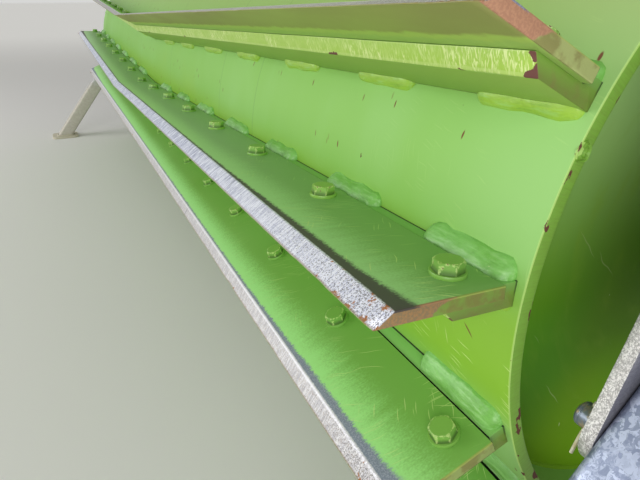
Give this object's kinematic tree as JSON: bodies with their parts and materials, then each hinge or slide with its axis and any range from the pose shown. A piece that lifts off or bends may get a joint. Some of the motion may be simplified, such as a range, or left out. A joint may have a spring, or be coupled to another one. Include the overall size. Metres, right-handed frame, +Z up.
{
  "type": "silage spreader rotor",
  "caption": "Paddle rotor of a silage spreader: a steel drum with V-shaped rows of bolted blades, in side plates with parking legs, hung from a carrying beam.",
  "frame": {"origin": "centre of the mounting plate's rear face, where the hitch frame bolts on", "axes": "+X along the rotor from its near end to its far end, +Y to the side of the parking legs, +Z up"},
  "size_m": [2.79, 0.9816, 0.995],
  "materials": {
    "painted_shell": "green gloss paint on rolled steel, dusty and lightly chipped",
    "painted_inside": "green paint in the shade of the drum's end, dusty",
    "painted_bar": "green paint over saw-cut flat bar, chipped to primer at the edges",
    "worn_blade": "green paint, worn to bare bright steel along the outer edge",
    "shaft_steel": "turned steel, greasy",
    "galvanised_tube": "hot-dip galvanised with large spangle",
    "galvanised_plate": "hot-dip galvanised, fine mottled spangle",
    "bearing_iron": "cast housing, painted green",
    "pin_steel": "zinc-plated steel gone dull"
  },
  "bodies": {
    "frame": {"carrying_beam": "galvanised_tube", "mounting_plate": "galvanised_plate", "side_plate_far": "galvanised_plate", "side_plate_near": "galvanised_plate", "bearing_far": "bearing_iron", "bearing_near": "bearing_iron", "parking_leg_far": "galvanised_tube", "parking_leg_near": "galvanised_tube", "leg_foot_far": "galvanised_plate", "leg_foot_near": "galvanised_plate", "leg_pins_far": "pin_steel", "leg_pins_near": "pin_steel"},
    "rotor": {"drum_shell": "painted_shell", "end_disc_far": "painted_inside", "end_disc_near": "painted_inside", "hub_far": "painted_inside", "hub_near": "painted_inside", "stub_shaft_far": "shaft_steel", "stub_shaft_near": "shaft_steel", "bar_01": "painted_bar", "bar_02": "painted_bar", "bar_03": "painted_bar", "bar_04": "painted_bar", "bar_05": "painted_bar", "bar_06": "painted_bar", "bar_07": "painted_bar", "bar_08": "painted_bar", "bar_09": "painted_bar", "bar_10": "painted_bar", "bar_11": "painted_bar", "bar_12": "painted_bar", "bar_13": "painted_bar", "bar_14": "painted_bar", "bar_15": "painted_bar", "blade_01": "worn_blade", "blade_02": "worn_blade", "blade_03": "worn_blade", "blade_04": "worn_blade", "blade_05": "worn_blade", "blade_06": "worn_blade", "blade_07": "worn_blade", "blade_08": "worn_blade", "blade_09": "worn_blade", "blade_10": "worn_blade", "blade_11": "worn_blade", "blade_12": "worn_blade", "blade_13": "worn_blade", "blade_14": "worn_blade", "blade_15": "worn_blade"}
  },
  "joints": [
    {"name": "rotor_spin", "type": "hinge", "parent": "frame", "child": "rotor", "pos_m": [0, 0.245, -0.47], "axis": [1, 0, 0], "continuous": true}
  ]
}
